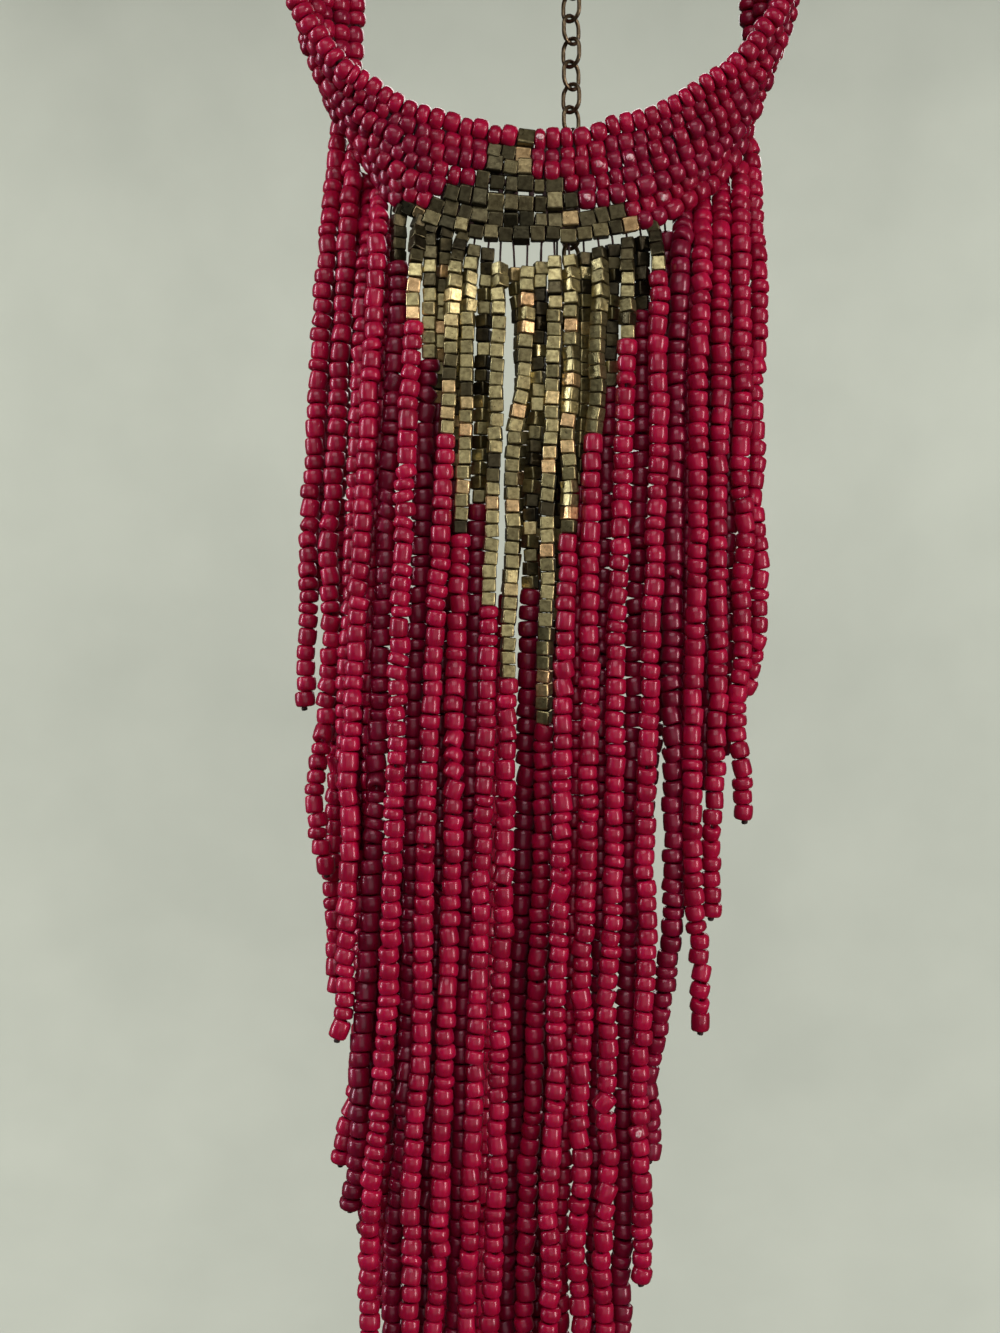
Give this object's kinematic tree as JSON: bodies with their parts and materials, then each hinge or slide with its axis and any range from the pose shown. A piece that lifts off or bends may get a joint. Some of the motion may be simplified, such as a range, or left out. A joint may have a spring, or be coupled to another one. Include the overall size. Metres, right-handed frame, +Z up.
{
  "type": "beaded fringe necklace",
  "caption": "Woven glass-bead collar with a long hanging fringe of bead strings, brass cube beads at its front, a clasp ring at the back and an extender chain.",
  "frame": {"origin": "inner top of the clasp ring at the back of the loop, where the necklace hangs", "axes": "+Z up, -Y towards the front of the fringe, +X to the right as seen from the front"},
  "size_m": [0.1173, 0.0279, 0.5009],
  "materials": {
    "glass_beads": "glossy opaque crimson glass",
    "antique_brass": "antique, worn and darkened"
  },
  "bodies": {
    "root": {"collar_band": "glass_beads", "strand_01": "glass_beads", "strand_02": "glass_beads", "strand_03": "glass_beads", "strand_04": "glass_beads", "strand_05": "glass_beads", "strand_06": "glass_beads", "strand_07": "glass_beads", "strand_08": "glass_beads", "strand_09": "glass_beads", "strand_10": "glass_beads", "strand_11": "glass_beads", "strand_12": "glass_beads", "strand_13": "glass_beads", "strand_14": "glass_beads", "strand_15": "glass_beads", "strand_16": "glass_beads", "strand_17": "glass_beads", "strand_18": "glass_beads", "strand_19": "glass_beads", "strand_20": "glass_beads", "strand_21": "glass_beads", "strand_22": "glass_beads", "strand_23": "glass_beads", "strand_24": "glass_beads", "strand_25": "glass_beads", "strand_26": "glass_beads", "strand_27": "glass_beads", "strand_28": "glass_beads", "strand_29": "glass_beads", "strand_30": "glass_beads", "strand_31": "glass_beads", "strand_32": "glass_beads", "strand_33": "glass_beads", "strand_34": "glass_beads", "strand_35": "glass_beads", "strand_36": "glass_beads", "strand_37": "glass_beads", "strand_38": "glass_beads", "strand_39": "glass_beads", "strand_40": "glass_beads", "left_end_bar": "antique_brass", "right_end_bar": "antique_brass", "clasp_ring": "antique_brass", "extender_chain": "antique_brass"}
  },
  "joints": []
}
